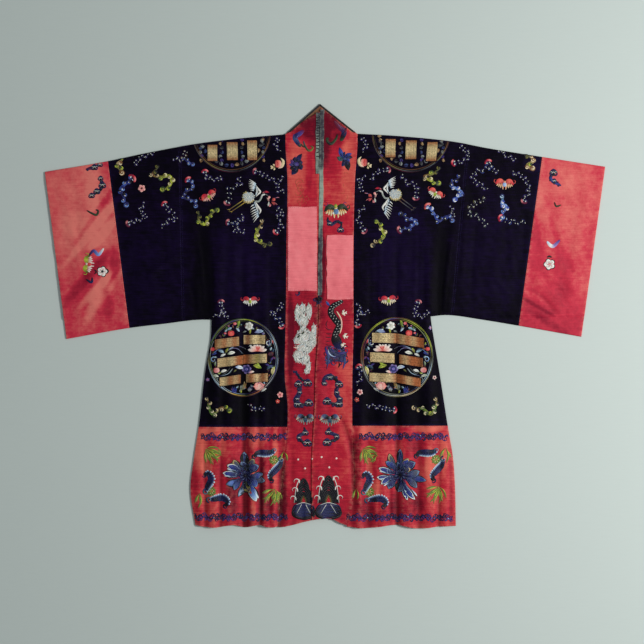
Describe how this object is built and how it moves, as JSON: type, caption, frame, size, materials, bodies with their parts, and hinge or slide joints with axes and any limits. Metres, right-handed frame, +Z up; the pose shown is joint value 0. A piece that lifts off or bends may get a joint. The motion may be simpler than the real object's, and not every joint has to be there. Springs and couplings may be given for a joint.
{
  "type": "taoist robe",
  "caption": "Embroidered open-front robe laid out flat, wide straight sleeves spread, with a long neckband, broad hem borders and cuff bands.",
  "frame": {"origin": "on the surface that the robe lies on, midway between the cuff ends and midway between the collar's peak and the lowest point of the hem", "axes": "+X towards the right-hand cuff as seen from above, +Y towards the collar, +Z up out of the surface, through the front of the robe"},
  "size_m": [1.624, 1.2301, 0.017],
  "materials": {
    "navy_silk": "satin",
    "coral_silk": "satin",
    "pink_silk": "satin",
    "gold_thread": "satin",
    "sage_ribbon": "satin",
    "tan_lining": "matte",
    "black_piping": "matte"
  },
  "bodies": {
    "root": {"front_left": "navy_silk", "front_right": "navy_silk", "back_left": "navy_silk", "back_right": "navy_silk", "sleeve_left": "navy_silk", "sleeve_right": "navy_silk", "cuff_left": "coral_silk", "cuff_right": "coral_silk", "hem_front_left": "coral_silk", "hem_front_right": "coral_silk", "hem_back_left": "coral_silk", "hem_back_right": "coral_silk", "neckband_left": "coral_silk", "neckband_right": "coral_silk", "neckband_back": "coral_silk", "pink_patch_left": "pink_silk", "pink_patch_right": "pink_silk", "bar_left_1_inner": "gold_thread", "bar_left_1_outer": "gold_thread", "bar_left_2_inner": "gold_thread", "bar_left_2_outer": "gold_thread", "bar_left_3_inner": "gold_thread", "bar_left_3_outer": "gold_thread", "bar_right_1_inner": "gold_thread", "bar_right_1_outer": "gold_thread", "bar_right_2_inner": "gold_thread", "bar_right_2_outer": "gold_thread", "bar_right_3_inner": "gold_thread", "bar_right_3_outer": "gold_thread", "bar_shoulder_left_1": "gold_thread", "bar_shoulder_left_2": "gold_thread", "bar_shoulder_left_3": "gold_thread", "bar_shoulder_right_1": "gold_thread", "bar_shoulder_right_2": "gold_thread", "bar_shoulder_right_3": "gold_thread", "ribbon_left": "sage_ribbon", "ribbon_right": "sage_ribbon", "neck_facing": "tan_lining", "neck_piping_left": "black_piping", "neck_piping_right": "black_piping", "knot_button": "black_piping"}
  },
  "joints": []
}
